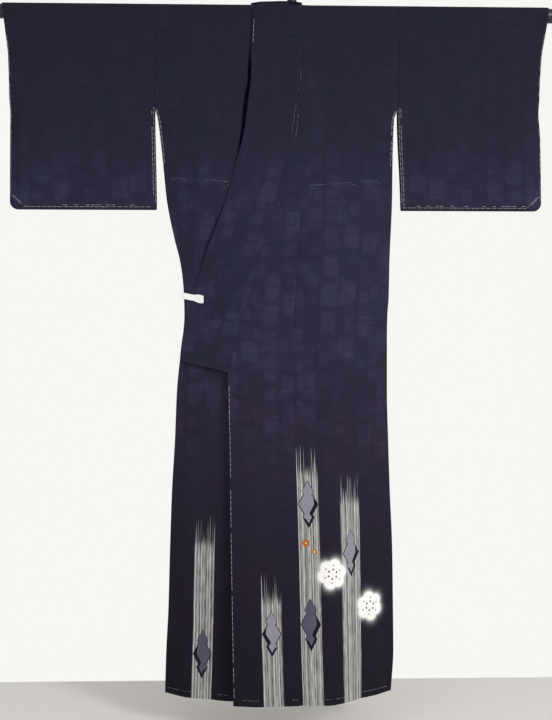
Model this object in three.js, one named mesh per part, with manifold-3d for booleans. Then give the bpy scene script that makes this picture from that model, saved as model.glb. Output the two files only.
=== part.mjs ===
// A homongi kimono hung open on the round black bar of a kimono hanger, as cut and sewn pieces.
// Millimetres, +Z up. The garment is drawn from the bar's axis and its own middle; +X is the viewer's
// right, which is the wearer's left, and -Y is the front. The origin is the inside of the hook's crown.
import * as THREE from 'three';
import * as BufferGeometryUtils from 'three/addons/utils/BufferGeometryUtils.js';
import Module from 'manifold-3d';

const wasm = await Module();
wasm.setup();

// Hanger
const BAR_RADIUS = 17;
const BAR_LENGTH = 1390;
const BAR_CHAMFER = 2;
const BOSS_RADIUS = 11.5;
const BOSS_FOOT = 6;
const BOSS_SHOULDER = 40;
const BOSS_TOP = 58;
const BOSS_TIP_RADIUS = 6;
const HOOK_OFFSET = 36.5;
const HOOK_WIRE = 4;
const HOOK_BEND = 26;
const HOOK_CROWN = 144;

// Cloth
const WALL = 1.6;
const SEAM = 0.3;
const OVER_BAR = 19.5;
const AT_BAR = 21.6;
const SEAM_EDGE = WALL + SEAM / 2;
const COLUMNS = 8;
const GORE_COLUMNS = 4;
const COLLAR_COLUMNS = 6;
const ARC_STEPS = 6;

// Levels down the garment
const TOP = 0;
const POINT_OF_GORE = -185;
const GORE_START = -192;
const OVER_COLLAR_END = -405;
const ARMHOLE_END = -230;
const CLIP_LEVEL = -682;
const COLLAR_END = -859;
const HEM = -1628;

// Collar and lap
const COLLAR_SLANT = 28;
const UNDER_COLLAR_INSET = 14;
const LAP_START = 6;
const LAP_REACH = 14;
const LAP_SPREAD = 0.09;
const LAP_REACH_MOST = 150;
const LAP_NARROWED = -1049;

// Sleeves
const SLEEVE_DROP = -472;
const CUFF_END = -235;
const SLEEVE_ROUNDING = 20;
const CUFF_TAPER = 34;
const POUCH_TOP = -240;
const POUCH_TOP_DEPTH = 15;
const POUCH_FOOT_DEPTH = 11;
const SLEEVE_FROM = 291;
const SLEEVE_FROM_LOW = { left: 299, right: 287 };

// Clip at the side
const CLIP_TIP = -175;
const CLIP_HEIGHT = 17;
const CLIP_WALL = 2;
const CLIP_GAP = 0.6;
const CLIP_SLOPE = 0.2;
const CLIP_PULL = 0.86;
const CLIP_PULL_HEIGHT = 85;
const CLIP_PULL_FROM = -205;
const CLIP_PULL_TO = -85;

/** Rows of numbers with named columns. */
const table = (names, rows) => rows.map((row) => (
  Object.fromEntries(names.split(' ').map((name, k) => [name, row[k]]))
));

/** The side seams: where the silhouette stands on either side. */
const SIDES = table('z left right', [
  [20, -291, 291], [-228, -290.6, 290.6], [-255, -284, 281], [-370, -271, 279], [-448, -263, 278],
  [-544, -244, 274], [-591, -232, 272], [-639, -225, 271], [-682, -222, 270], [-722, -221, 267],
  [-775, -225, 266], [-831, -232, 266], [-903, -239, 266], [-1023, -244, 269], [-1143, -251, 273],
  [-1287, -256, 279], [-1431, -260, 281], [-1527, -265, 282], [-1628, -268, 276],
]);

/** The wearer's left front: the collar's free edge, its seam (then the front edge), the gore's seam. */
const FRONT = table('z free edge gore', [
  [20, -57, 63, 63], [0, -57, 62.5, 62.5], [-92, -60, 64, 64], [-164, -62, 57, 57], [-185, -64, 54, 54],
  [-192, -65, 52.4, 54.4], [-224, -69, 46, 55], [-272, -75, 39, 56], [-322, -85, 32, 56.5],
  [-370, -98, 20, 56.5], [-448, -119, -2, 56], [-511, -142, -19, 53], [-566, -164, -35, 50],
  [-623, -183, -50, 47], [-663, -202, -61, 44], [-690, -214, -69, 42], [-760, -221, -89, 38],
  [-831, -229, -108, 37], [-859, -231, -116, 37], [-1040, -231, -113, 42], [-1271, -231, -110, 49],
  [-1500, -231, -106, 54], [-1628, -231, -103, 58],
]);

/** The outer edge of each sleeve, which draws in below the bar. */
const CUFFS = table('z left right', [
  [20, 652, 654], [-14, 647, 650], [-62, 641, 642], [-110, 636, 635], [-206, 634, 631], [-300, 635, 637],
  [-472, 636, 640],
]);

/** How far the under front and the back stand off the side seam's plane, and the lap between the fronts. */
const DEPTHS = table('z edge front back lap', [
  [20, 21.6, 21.6, 21.6, 4], [0, 21.6, 21.6, 21.6, 4], [-100, 19, 23, 22, 5], [-230, 15, 26, 22, 6.5],
  [-300, 8, 28, 21, 7], [-370, 1.75, 31, 21, 7.5], [-450, 1.75, 35, 21, 8], [-690, 1.75, 45, 20, 9],
  [-860, 1.75, 52, 20, 12], [-1150, 1.75, 63, 24, 18], [-1400, 1.75, 71, 28, 26], [-1628, 1.75, 78, 32, 34],
]);

/** Soft folds of the fronts: ridges stand out, troughs are negative, and some run on to the hem. */
const FRONT_FOLDS = table('xTop zTop xLow zLow width depth hem', [
  [56, -330, 58, -1640, 13, -4, 1],
  [110, -470, 128, -1640, 24, 4, 1],
  [176, -300, 196, -1640, 22, -6, 1],
  [232, -420, 240, -1640, 17, 5, 1],
  [-60, -880, -48, -1640, 24, 4, 1],
  [-150, -860, -168, -1640, 26, -6, 1],
  [-212, -840, -222, -1640, 18, 5, 1],
  [-176, -668, -40, -1010, 15, 4, 0],
  [-178, -700, -120, -1130, 17, -4, 0],
  [-184, -660, -96, -330, 17, -4, 0],
  [-206, -650, -180, -300, 15, 4, 0],
  [-20, -150, -70, -560, 22, 3, 0],
]);

/** Soft folds of the back, which hangs straighter. */
const BACK_FOLDS = table('xTop zTop xLow zLow width depth hem', [
  [-205, -260, -214, -1640, 22, 6, 1],
  [-128, -180, -140, -1640, 28, -7, 1],
  [-52, -320, -62, -1640, 22, 6, 1],
  [4, -120, 2, -1640, 20, -5, 1],
  [70, -240, 84, -1640, 26, 7, 1],
  [146, -160, 160, -1640, 24, -7, 1],
  [220, -380, 226, -1640, 20, 5, 1],
  [-186, -660, -70, -1020, 18, 5, 0],
]);

/** Soft folds of the sleeves, from the body outwards. */
const SLEEVE_FOLDS = table('xTop zTop xLow zLow width depth hem', [
  [372, -20, 366, -500, 26, 3, 1],
  [470, -20, 478, -500, 24, -3.5, 1],
  [560, -20, 556, -500, 22, 3.5, 1],
]);

/** The collar round the neck: the free edge of the left front's half and of the half under it. */
const NECK = table('x y z underX underY underZ', [
  [-40, -29, 15, -20, -18.6, 10], [-10, -29, 19, 2, -17.8, 16], [22, -25.5, 20.5, 26, -15, 20.5],
  [46, -17, 22.5, 48, -8, 22.5], [60, -1, 26.5, 60, 2, 26], [60, 18, 31, 60, 18, 31],
  [50, 25.5, 35, 50, 25.5, 35], [34, 29, 38, 34, 29, 38], [0, 31, 39.5, 0, 31, 39.5],
]);

/** The back neckline, from the bar down to the top of the centre-back seam. */
const NECKLINE = table('z x', [[0, 62], [-12, 55], [-20, 36], [-26, 0]]);

const FRONT_ROWS = [
  TOP, -45, -95, -140, POINT_OF_GORE, GORE_START, ARMHOLE_END, -272, -322, -370, OVER_COLLAR_END, -448,
  -496, -544, -591, -639, CLIP_LEVEL, -722, -775, -831, COLLAR_END, -903, -963, -1023, -1083, -1143,
  -1215, -1287, -1359, -1431, -1500, -1565, HEM,
];
const BACK_ROWS = [...NECKLINE.map((row) => row.z), ...FRONT_ROWS.filter((z) => z < TOP - 40)];

const { clamp, lerp, smoothstep } = THREE.MathUtils;

/** Reads a column of a table whose z falls, by a smooth curve that never overshoots its rows. */
function along(rows, name, z) {
  const at = clamp(z, rows[rows.length - 1].z, rows[0].z);
  let k = rows.findIndex((row) => row.z <= at);
  k = clamp(k, 1, rows.length - 1);
  const slope = (i) => (rows[i][name] - rows[i - 1][name]) / (rows[i].z - rows[i - 1].z);
  const tangent = (i) => {
    if (i === 0) return slope(1);
    if (i === rows.length - 1) return slope(i);
    const [a, b] = [slope(i), slope(i + 1)];
    return a * b > 0 ? (2 * a * b) / (a + b) : 0;
  };
  const [from, to] = [rows[k - 1], rows[k]];
  const span = to.z - from.z;
  const t = (at - from.z) / span;
  const t2 = t * t;
  const t3 = t2 * t;
  return (2 * t3 - 3 * t2 + 1) * from[name] + (t3 - 2 * t2 + t) * span * tangent(k - 1)
    + (3 * t2 - 2 * t3) * to[name] + (t3 - t2) * span * tangent(k);
}

/** The height of all the folds of one table over a point of a panel. */
function foldsAt(folds, x, z) {
  let sum = 0;
  for (const fold of folds) {
    const s = (fold.zTop - z) / (fold.zTop - fold.zLow);
    if (s <= 0 || s >= 1) continue;
    const swell = fold.hem ? Math.sin(s * Math.PI / 2) : Math.sin(s * Math.PI);
    const off = (x - lerp(fold.xTop, fold.xLow, s)) / fold.width;
    sum += fold.depth * swell * Math.exp(-off * off);
  }
  return sum;
}

/** How near a point lies to a side seam: 0 in the middle of the garment and 1 on the seam. */
function nearSide(x, z) {
  const left = along(SIDES, 'left', z);
  const right = along(SIDES, 'right', z);
  return clamp(Math.abs(2 * x - left - right) / (right - left), 0, 1);
}

/** How hard the clip at the side draws the layers together here. */
function clipPull(x, z) {
  const level = (z - CLIP_LEVEL) / CLIP_PULL_HEIGHT;
  return Math.exp(-level * level) * (1 - smoothstep(x, CLIP_PULL_FROM, CLIP_PULL_TO));
}

/** How far a layer stands off the side seam's plane, with its folds. */
function crown(x, z, column, folds) {
  const side = nearSide(x, z);
  const edge = along(DEPTHS, 'edge', z);
  const round = 1 - side ** 3;
  const drawn = 1 - CLIP_PULL * clipPull(x, z);
  const full = (along(DEPTHS, column, z) - edge) * round;
  return edge + (full + foldsAt(folds, x, z) * (1 - side ** 6)) * drawn;
}

/** How far the front that lies underneath lifts the other: past its collar, then past its edge. */
function underEdge(z) {
  const collar = -along(FRONT, 'free', Math.max(z, COLLAR_END));
  return lerp(collar, -along(FRONT, 'edge', z), smoothstep(-z, -COLLAR_END, -LAP_NARROWED));
}

/** The lap that lifts the left front over the one underneath. */
function lapAt(x, z) {
  const start = underEdge(z) + LAP_START;
  const reach = Math.min(LAP_REACH + LAP_SPREAD * (TOP - z), LAP_REACH_MOST);
  const end = Math.min(start + reach, along(SIDES, 'right', z) - 4);
  const over = 1 - smoothstep(x, start, Math.max(end, start + 8));
  return along(DEPTHS, 'lap', z) * over * (1 - 0.5 * clipPull(x, z));
}

const underAt = (x, z) => -crown(x, z, 'front', FRONT_FOLDS);
const overAt = (x, z) => underAt(x, z) - lapAt(x, z);
const backAt = (x, z) => crown(x, z, 'back', BACK_FOLDS);

/** A point of a hanging layer, with the way that its outer face looks. */
function onLayer(x, z, depthAt) {
  const point = new THREE.Vector3(x, depthAt(x, z), z);
  const [dx, dz] = [depthAt(x + 1, z) - depthAt(x - 1, z), depthAt(x, z + 1) - depthAt(x, z - 1)];
  const out = Math.sign(point.y);
  point.facing = new THREE.Vector3(-dx / 2, 1, -dz / 2).multiplyScalar(out).normalize();
  return point;
}

/** A point of the cloth where it passes over the bar, at a turn of 0 in front to pi behind. */
function overBar(x, turn, frontAt, behindAt) {
  const depth = Math.cos(turn) > 0 ? frontAt(x, TOP) : behindAt(x, TOP);
  const point = new THREE.Vector3(x, depth * Math.abs(Math.cos(turn)), OVER_BAR * Math.sin(turn));
  point.facing = new THREE.Vector3(0, -Math.cos(turn) / AT_BAR, Math.sin(turn) / OVER_BAR).normalize();
  return point;
}

const arcTurns = Array.from({ length: ARC_STEPS - 1 }, (_, k) => (Math.PI * (k + 1)) / ARC_STEPS);

/** Turns a grid of outer points into a closed wall of cloth, its outer face towards a direction. */
function wall(grid, outward, thickness = WALL, ring = false) {
  let rows = grid;
  const cell = (list) => {
    const across = list[0][1].clone().sub(list[0][0]);
    const down = list[1][0].clone().sub(list[0][0]);
    return across.cross(down);
  };
  if (cell(rows).dot(outward) < 0) rows = rows.map((row) => [...row].reverse());
  const [m, n] = [rows.length, rows[0].length];
  const at = (i, j) => rows[ring ? (i + m) % m : clamp(i, 0, m - 1)][clamp(j, 0, n - 1)];
  const outer = [];
  const inner = [];
  for (let i = 0; i < m; i += 1) {
    for (let j = 0; j < n; j += 1) {
      const wide = at(i, j + 1).clone().sub(at(i, j - 1));
      const down = at(i + 1, j).clone().sub(at(i - 1, j));
      const normal = at(i, j).facing ?? wide.cross(down).normalize();
      outer.push(at(i, j));
      inner.push(at(i, j).clone().addScaledVector(normal, -thickness));
    }
  }
  const count = m * n;
  const index = [];
  const quad = (a, b, c, d) => index.push(a, b, c, a, c, d);
  const id = (i, j) => (i % m) * n + j;
  const last = ring ? m : m - 1;
  for (let i = 0; i < last; i += 1) {
    for (let j = 0; j < n - 1; j += 1) {
      const [a, b, c, d] = [id(i, j), id(i, j + 1), id(i + 1, j + 1), id(i + 1, j)];
      quad(a, b, c, d);
      quad(count + a, count + d, count + c, count + b);
    }
    const [left, leftNext] = [id(i, 0), id(i + 1, 0)];
    const [right, rightNext] = [id(i, n - 1), id(i + 1, n - 1)];
    quad(left, leftNext, count + leftNext, count + left);
    quad(right, count + right, count + rightNext, rightNext);
  }
  for (let j = 0; !ring && j < n - 1; j += 1) {
    quad(id(0, j), count + id(0, j), count + id(0, j + 1), id(0, j + 1));
    const [a, b] = [id(m - 1, j), id(m - 1, j + 1)];
    quad(a, b, count + b, count + a);
  }
  const geometry = new THREE.BufferGeometry();
  const points = [...outer, ...inner].flatMap((p) => p.toArray());
  geometry.setAttribute('position', new THREE.Float32BufferAttribute(points, 3));
  geometry.setIndex(index);
  return geometry;
}

/** A row of points from one x to another at one level, on one layer. */
function across(from, to, z, depthAt, columns = COLUMNS) {
  return Array.from({ length: columns + 1 }, (_, j) => {
    const x = lerp(from, to, j / columns);
    return onLayer(x, z, depthAt);
  });
}

/** The inner edge of a body panel's front: the collar's seam, and the gore's seam below its point. */
function bodyEdge(z) {
  return along(FRONT, z >= POINT_OF_GORE ? 'edge' : 'gore', z) + SEAM / 2;
}

/** One body panel: a single length of cloth from the front hem, over the bar, to the back hem. */
function bodyPanel(hand, frontAt) {
  const side = hand > 0 ? 'right' : 'left';
  const rows = [];
  for (const z of [...FRONT_ROWS].reverse()) {
    rows.push(across(hand * bodyEdge(z), along(SIDES, side, z), z, frontAt));
  }
  for (const turn of arcTurns) {
    const level = OVER_BAR * Math.sin(turn);
    const from = hand * bodyEdge(level);
    const to = along(SIDES, side, level);
    rows.push(Array.from({ length: COLUMNS + 1 }, (_, j) => (
      overBar(lerp(from, to, j / COLUMNS), turn, frontAt, backAt)
    )));
  }
  for (const z of BACK_ROWS) {
    const from = along(NECKLINE, 'x', z) + SEAM / 2;
    rows.push(across(hand * from, along(SIDES, side, z), z, backAt));
  }
  return wall(rows, new THREE.Vector3(0, -1, 0));
}

/** One gore between the front panel and the front edge, narrowing to a point under the collar. */
function gore(hand, frontAt) {
  const rows = FRONT_ROWS.filter((z) => z <= GORE_START).map((z) => {
    const from = hand * (along(FRONT, 'edge', z) + SEAM / 2);
    const to = hand * (along(FRONT, 'gore', z) - SEAM / 2);
    return across(from, to, z, frontAt, GORE_COLUMNS);
  });
  return wall(rows, new THREE.Vector3(0, -1, 0));
}

/** A row across the collar, from its free edge to its seam; the end of the collar slants. */
function collarRow(hand, z, frontAt) {
  const narrower = hand < 0 ? UNDER_COLLAR_INSET * smoothstep(z, -120, TOP) : 0;
  const from = hand * (along(FRONT, 'free', z) + narrower);
  const to = hand * (along(FRONT, 'edge', z) - SEAM / 2);
  const slant = COLLAR_SLANT * smoothstep(TOP - z, TOP - CLIP_LEVEL, TOP - COLLAR_END);
  return Array.from({ length: COLLAR_COLUMNS + 1 }, (_, j) => {
    const share = j / COLLAR_COLUMNS;
    return onLayer(lerp(from, to, share), z + slant * (1 - share), frontAt);
  });
}

/** The lower length of the collar on one front, below the over-collar. */
function lowerCollar(hand, frontAt) {
  const rows = FRONT_ROWS.filter((z) => z <= OVER_COLLAR_END && z >= COLLAR_END);
  const levels = rows.map((z) => (z === OVER_COLLAR_END ? z - SEAM / 2 : z));
  return wall(levels.map((z) => collarRow(hand, z, frontAt)), new THREE.Vector3(0, -1, 0));
}

/** Where the collar is sewn to the body: over the bar and round the back neckline. */
function neckSeam(hand, frontAt) {
  const seam = arcTurns.map((turn) => {
    const point = overBar(hand * (bodyEdge(OVER_BAR * Math.sin(turn)) - SEAM), turn, frontAt, backAt);
    point.facing.x = hand;
    point.facing.normalize();
    return point;
  });
  for (const { z, x } of NECKLINE) {
    const [inside, above] = z === TOP ? [SEAM / 2, 0] : [0.2, SEAM];
    const px = hand * Math.max(x - inside, 0);
    const point = new THREE.Vector3(px, backAt(px, z), z + above);
    point.facing = new THREE.Vector3(0, 1, 0);
    seam.push(point);
  }
  return seam;
}

/** One half of the over-collar: up the front, over the bar and round to the middle of the neck. */
function collarHalf(hand, frontAt) {
  const rows = FRONT_ROWS.filter((z) => z >= OVER_COLLAR_END).reverse().map((z) => (
    collarRow(hand, z === OVER_COLLAR_END ? z + SEAM / 2 : z, frontAt)
  ));
  const under = hand < 0;
  neckSeam(hand, frontAt).forEach((seam, k) => {
    const row = NECK[k];
    const free = under
      ? new THREE.Vector3(-row.underX, row.underY, row.underZ)
      : new THREE.Vector3(row.x, row.y, row.z);
    const between = Array.from({ length: COLLAR_COLUMNS }, (_, j) => (
      free.clone().lerp(seam, j / COLLAR_COLUMNS)
    ));
    between[COLLAR_COLUMNS - 1].facing = seam.facing;
    rows.push([...between, seam]);
  });
  return rows;
}

/** The over-collar, one strip that crosses in front and stands up round the back of the neck. */
function overCollar() {
  const left = collarHalf(1, overAt);
  const right = collarHalf(-1, underAt).reverse().slice(1);
  return wall([...left, ...right], new THREE.Vector3(0, -1, 0));
}

/** Where a sleeve ends: at the cuff, with its lower corner rounded. */
function cuffAt(hand, z) {
  const corner = SLEEVE_DROP + SLEEVE_ROUNDING;
  const dip = clamp(corner - z, 0, SLEEVE_ROUNDING);
  const rounding = SLEEVE_ROUNDING - Math.sqrt(SLEEVE_ROUNDING ** 2 - dip ** 2);
  return along(CUFFS, hand > 0 ? 'right' : 'left', z) - rounding;
}

/** How far a sleeve's two layers stand apart from the middle, closed at the outer seam below the cuff. */
function sleeveDepth(hand, x, z) {
  const cuff = cuffAt(hand, z);
  const down = (POUCH_TOP - z) / (POUCH_TOP - SLEEVE_DROP);
  const open = down < 0
    ? along(DEPTHS, 'edge', Math.max(z, ARMHOLE_END))
    : lerp(POUCH_TOP_DEPTH, POUCH_FOOT_DEPTH, down);
  const toCuff = smoothstep(x, cuff - CUFF_TAPER, cuff);
  const closing = toCuff * smoothstep(-z, -CUFF_END - 30, -CUFF_END + 10);
  const folds = foldsAt(SLEEVE_FOLDS, x, z) * (1 - smoothstep(x, 600, 640)) * smoothstep(-z, 0, 90);
  return lerp(open + folds * smoothstep(z, SLEEVE_DROP, SLEEVE_DROP + 40), SEAM_EDGE, closing);
}

/** One sleeve: front and back in one length over the bar, folded shut along its bottom. */
function sleeve(hand) {
  const levels = [-455, -420, -375, -330, -285, -245, -215, -175, -130, -85, -45, TOP];
  const foot = [{ rise: 3, share: 0.45 }, { rise: 8, share: 0.78 }];
  const shares = [0, 0.13, 0.26, 0.39, 0.52, 0.65, 0.78, 0.9, 0.96, 1];
  const low = SLEEVE_FROM_LOW[hand > 0 ? 'left' : 'right'];
  const inner = (z) => lerp(SLEEVE_FROM, low, smoothstep(-z, -POUCH_TOP, -SLEEVE_DROP)) + SEAM;
  const row = (z, depthAt) => shares.map((share) => {
    const x = lerp(inner(z), cuffAt(hand, z), share);
    return new THREE.Vector3(hand * x, depthAt(x), z);
  });
  const rows = [row(SLEEVE_DROP, () => 0)];
  const footRow = ({ rise, share }, sign) => row(SLEEVE_DROP + rise, (x) => (
    sign * Math.max(share * sleeveDepth(hand, x, SLEEVE_DROP + 17), Math.min(SEAM_EDGE, rise))
  ));
  rows.push(...foot.map((step) => footRow(step, -1)));
  rows.push(...levels.map((z) => row(z, (x) => -sleeveDepth(hand, x, z))));
  for (const turn of arcTurns) {
    const level = OVER_BAR * Math.sin(turn);
    rows.push(shares.map((share) => {
      const x = lerp(inner(TOP), cuffAt(hand, level), share);
      return new THREE.Vector3(hand * x, -sleeveDepth(hand, x, TOP) * Math.cos(turn), level);
    }));
  }
  rows.push(...[...levels].reverse().map((z) => row(z, (x) => sleeveDepth(hand, x, z))));
  rows.push(...[...foot].reverse().map((step) => footRow(step, 1)));
  return wall(rows, new THREE.Vector3(0, -1, -1), WALL, true);
}

/** The plain white clip that holds the overlap to the side, bent round the layers' edge. */
function wrapClip() {
  const bend = along(SIDES, 'left', CLIP_LEVEL) - CLIP_WALL;
  const reach = [CLIP_TIP, -192, -208, bend + 4];
  const level = (x) => CLIP_LEVEL - CLIP_SLOPE * (x + 200);
  const furthest = (depthAt, x) => Math.max(...[-1, 0, 1].map((k) => (
    Math.abs(depthAt(x + 12 * k, level(x) + k * CLIP_HEIGHT / 2))
  ))) + CLIP_WALL + CLIP_GAP;
  const path = [];
  for (const x of reach) path.push([x, -furthest(overAt, x)]);
  path.push([bend - CLIP_WALL, -furthest(overAt, bend) + CLIP_WALL]);
  path.push([bend - CLIP_WALL, furthest(backAt, bend) - CLIP_WALL]);
  for (const x of [...reach].reverse()) path.push([x, furthest(backAt, x)]);
  const rows = path.map(([x, y]) => [1, -1].map((side) => (
    new THREE.Vector3(x, y, level(x) + side * CLIP_HEIGHT / 2)
  )));
  return wall(rows, new THREE.Vector3(0, -1, 0), CLIP_WALL);
}

/** The hanger's round bar, turned, with eased ends. */
function hangerBar() {
  const half = BAR_LENGTH / 2;
  const profile = [
    [0, -half], [BAR_RADIUS - BAR_CHAMFER, -half], [BAR_RADIUS, -half + BAR_CHAMFER],
    [BAR_RADIUS, half - BAR_CHAMFER], [BAR_RADIUS - BAR_CHAMFER, half], [0, half],
  ].map(([r, h]) => new THREE.Vector2(r, h));
  const geometry = new THREE.LatheGeometry(profile, 24);
  return geometry.rotateZ(Math.PI / 2);
}

/** A closed mesh as a solid for cutting and joining. */
function solid(geometry) {
  const bare = geometry.clone();
  bare.deleteAttribute('normal');
  bare.deleteAttribute('uv');
  const merged = BufferGeometryUtils.mergeVertices(bare, 1e-4);
  return new wasm.Manifold(new wasm.Mesh({
    numProp: 3,
    vertProperties: new Float32Array(merged.attributes.position.array),
    triVerts: new Uint32Array(merged.index.array),
  }));
}

/** A cut or joined solid back as a mesh. */
function meshOf(body) {
  const { vertProperties, triVerts } = body.getMesh();
  const geometry = new THREE.BufferGeometry();
  geometry.setAttribute('position', new THREE.BufferAttribute(vertProperties, 3));
  geometry.setIndex(new THREE.BufferAttribute(triVerts, 1));
  return geometry;
}

/** The hook: a boss that saddles the bar in the neck opening, and a bent wire. */
function hangerHook() {
  const profile = [
    [0, BOSS_FOOT], [BOSS_RADIUS, BOSS_FOOT], [BOSS_RADIUS, BOSS_SHOULDER], [BOSS_TIP_RADIUS, BOSS_TOP],
    [0, BOSS_TOP],
  ].map(([r, h]) => new THREE.Vector2(r, h));
  const boss = new THREE.LatheGeometry(profile, 20).rotateX(Math.PI / 2).translate(HOOK_OFFSET, 0, 0);
  const middle = HOOK_CROWN - HOOK_BEND;
  const stem = [[0, BOSS_TOP - 6], [0, BOSS_TOP + 12], [-9, BOSS_TOP + 26], [-21, BOSS_TOP + 40]];
  const crownTurns = [180, 150, 120, 90, 60, 30, 0, -25];
  const arc = crownTurns.map((deg) => {
    const turn = THREE.MathUtils.degToRad(deg);
    return [HOOK_BEND * Math.cos(turn), middle + HOOK_BEND * Math.sin(turn)];
  });
  const curve = new THREE.CatmullRomCurve3([...stem, ...arc].map(([y, z]) => (
    new THREE.Vector3(HOOK_OFFSET, y, z)
  )));
  const section = new THREE.Shape().absarc(0, 0, HOOK_WIRE, 0, Math.PI * 2);
  const wire = new THREE.ExtrudeGeometry(section, { extrudePath: curve, steps: 30, curveSegments: 5 });
  const saddle = new THREE.CylinderGeometry(BAR_RADIUS + SEAM, BAR_RADIUS + SEAM, 80, 48)
    .rotateZ(Math.PI / 2).translate(HOOK_OFFSET, 0, 0);
  return meshOf(solid(boss).add(solid(wire)).subtract(solid(saddle)));
}

const kimono = new THREE.Group();
kimono.position.set(-HOOK_OFFSET, 0, HOOK_WIRE - HOOK_CROWN);

/** Adds a piece to the group under its own name and finish. */
function piece(name, geometry, color, roughness = 0.85, metalness = 0) {
  const material = new THREE.MeshStandardMaterial({ color, roughness, metalness });
  const mesh = new THREE.Mesh(geometry, material);
  mesh.name = name;
  kimono.add(mesh);
}

piece('body_left', bodyPanel(1, overAt), '#312f45');
piece('body_right', bodyPanel(-1, underAt), '#2f2d42');
piece('gore_left', gore(1, overAt), '#34324a');
piece('gore_right', gore(-1, underAt), '#2e2c40');
piece('over_collar', overCollar(), '#37354e');
piece('collar_left', lowerCollar(1, overAt), '#33314a');
piece('collar_right', lowerCollar(-1, underAt), '#2c2a3e');
piece('sleeve_left', sleeve(1), '#2b2a3c');
piece('sleeve_right', sleeve(-1), '#2b2a3c');
piece('wrap_clip', wrapClip(), '#f1f0ec', 0.5);
piece('hanger_bar', hangerBar(), '#17161a', 0.35, 0.2);
piece('hanger_hook', hangerHook(), '#272625', 0.4, 0.6);

export default kimono;
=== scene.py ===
"""A dark homongi kimono hung open on the round black bar of a kimono hanger."""

import math

import bpy
import numpy as np
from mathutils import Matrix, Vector


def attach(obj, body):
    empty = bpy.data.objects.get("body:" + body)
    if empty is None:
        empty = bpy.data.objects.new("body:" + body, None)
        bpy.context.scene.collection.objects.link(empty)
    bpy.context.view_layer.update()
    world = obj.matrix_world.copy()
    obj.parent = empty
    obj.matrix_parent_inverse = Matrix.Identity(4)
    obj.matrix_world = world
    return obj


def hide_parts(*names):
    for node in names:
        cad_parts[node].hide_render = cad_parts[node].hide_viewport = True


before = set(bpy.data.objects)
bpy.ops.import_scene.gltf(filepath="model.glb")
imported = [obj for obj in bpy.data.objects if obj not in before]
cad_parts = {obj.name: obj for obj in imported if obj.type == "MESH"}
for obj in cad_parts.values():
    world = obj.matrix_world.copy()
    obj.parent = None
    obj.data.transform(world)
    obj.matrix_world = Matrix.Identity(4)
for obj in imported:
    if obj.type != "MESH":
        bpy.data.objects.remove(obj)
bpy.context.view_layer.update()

# The camera stands in front of the garment's left half, level with its middle, and looks slightly
# to the right.


def start_from(add, name, **given):
    """Adds one thing with nothing else selected, and names it."""
    bpy.ops.object.select_all(action="DESELECT")
    add(**given)
    made = bpy.context.object
    made.name = name
    return made


CAMERA_AT = (-0.1101, -2.5117, -0.955)
CAMERA_TURN = (math.pi / 2 - 0.0063, 0, -0.0287)
camera = start_from(bpy.ops.object.camera_add, "camera", location=CAMERA_AT, rotation=CAMERA_TURN)
camera.data.lens = 52.27
bpy.context.scene.camera = camera

# A plain pale floor lies under the hem, against a plain pale surround. It isn't part of the object.
FLOOR_SIZE = (4.4, 2.9, 1)
FLOOR_AT = (0, -1.1, -1.85)


def edit_all():
    """Opens the active mesh in edit mode, all of it selected."""
    bpy.ops.object.mode_set(mode="EDIT")
    bpy.ops.mesh.select_all(action="SELECT")


def edit_faces(piece, chosen):
    """Opens a mesh in edit mode, with the faces selected whose normal is a chosen one."""
    for face in piece.data.polygons:
        face.select = chosen(face.normal)
    bpy.ops.object.mode_set(mode="EDIT")


def end_edit():
    """Leaves edit mode with nothing selected."""
    bpy.ops.mesh.select_all(action="DESELECT")
    bpy.ops.object.mode_set(mode="OBJECT")


floor = start_from(bpy.ops.mesh.primitive_plane_add, "floor", size=1)
edit_all()
bpy.ops.transform.resize(value=FLOOR_SIZE)
bpy.ops.transform.translate(value=FLOOR_AT)
end_edit()


def join(socket, target):
    """Links two sockets of one tree."""
    socket.id_data.links.new(socket, target)


def node(kind, values=None, tree=None, **settings):
    """Adds a shader node with its settings, and with numbers or links on its sockets.

    It joins the tree of the first link, or one that is given."""
    values = values or {}
    links = [value for value in values.values() if isinstance(value, bpy.types.NodeSocket)]
    made = (tree or links[0].id_data).nodes.new("ShaderNode" + kind)
    for name, value in settings.items():
        setattr(made, name, value)
    for name, value in values.items():
        if isinstance(value, bpy.types.NodeSocket):
            join(value, made.inputs[name])
        else:
            made.inputs[name].default_value = value
    return made


def new_material(name, **values):
    """A material with one Principled shader, whose plain values are set on its own sockets.

    It comes with its coordinates and with the shader's sockets."""
    made = bpy.data.materials.new(name)
    made.use_nodes = True
    tree = made.node_tree
    tree.nodes.clear()
    shader = node("BsdfPrincipled", values, tree)
    join(shader.outputs[0], node("OutputMaterial", tree=tree).inputs["Surface"])
    return made, node("TexCoord", tree=tree).outputs, shader.inputs


def calc(operation, a, b=0.0, c=0.0):
    """One step of arithmetic on sockets or numbers."""
    return node("Math", {0: a, 1: b, 2: c}, operation=operation).outputs[0]


def times(a, b):
    """Two values multiplied."""
    return calc("MULTIPLY", a, b)


def ease(value, start, end, low=0.0, high=1.0):
    """A smooth step of a value from start to end."""
    values = {"Value": value, "From Min": start, "From Max": end, "To Min": low, "To Max": high}
    return node("MapRange", values, interpolation_type="SMOOTHSTEP").outputs["Result"]


def mixed(share, a, b, blend="MIX"):
    """Two colours mixed by a share."""
    values = {0: share, 6: a, 7: b}
    return node("Mix", values, data_type="RGBA", blend_type=blend).outputs[2]


def srgb(red, green, blue):
    """A colour given as on a screen, in the linear values that shaders take."""
    linear = [((c / 255 + 0.055) / 1.055) ** 2.4 for c in (red, green, blue)]
    return (*linear, 1.0)


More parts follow.
